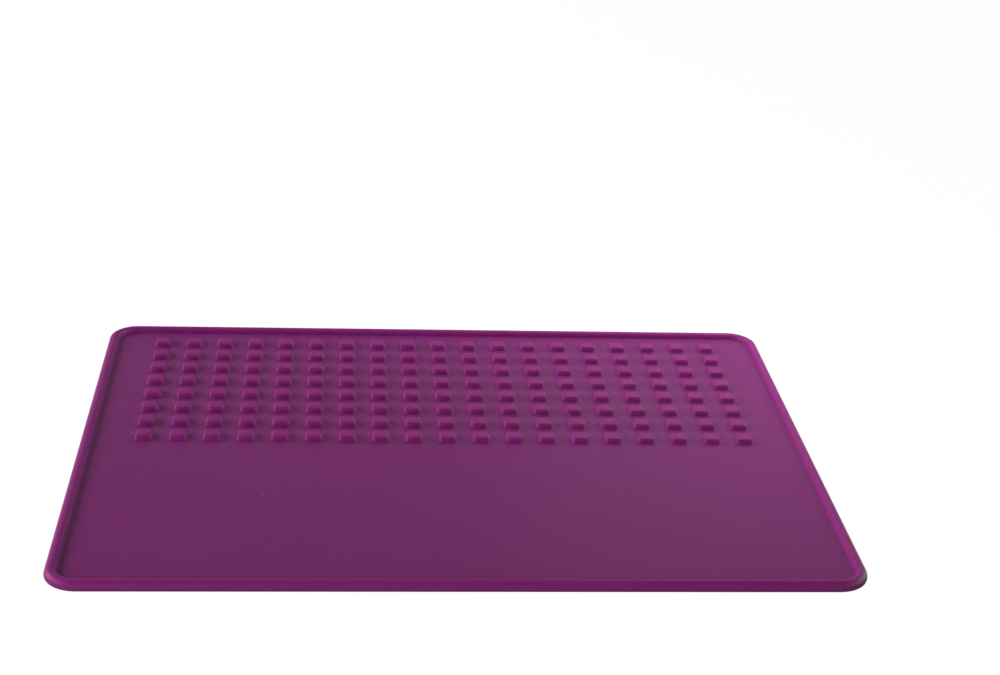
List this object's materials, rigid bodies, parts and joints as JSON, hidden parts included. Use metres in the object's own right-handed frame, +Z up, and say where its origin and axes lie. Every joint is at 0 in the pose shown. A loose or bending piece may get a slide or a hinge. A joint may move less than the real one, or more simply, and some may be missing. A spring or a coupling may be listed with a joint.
{
  "type": "silicone bench mat",
  "caption": "Thin moulded silicone mat with rounded corners, a low rounded rim, a grid of small square studs over its back half and a plain front half.",
  "frame": {"origin": "under the middle of the mat, on the bench", "axes": "+X to the right, +Y to the back where the studs are, +Z up"},
  "size_m": [0.4, 0.318, 0.005],
  "materials": {
    "silicone": "satin"
  },
  "bodies": {
    "root": {"bench_mat": "silicone"}
  },
  "joints": []
}
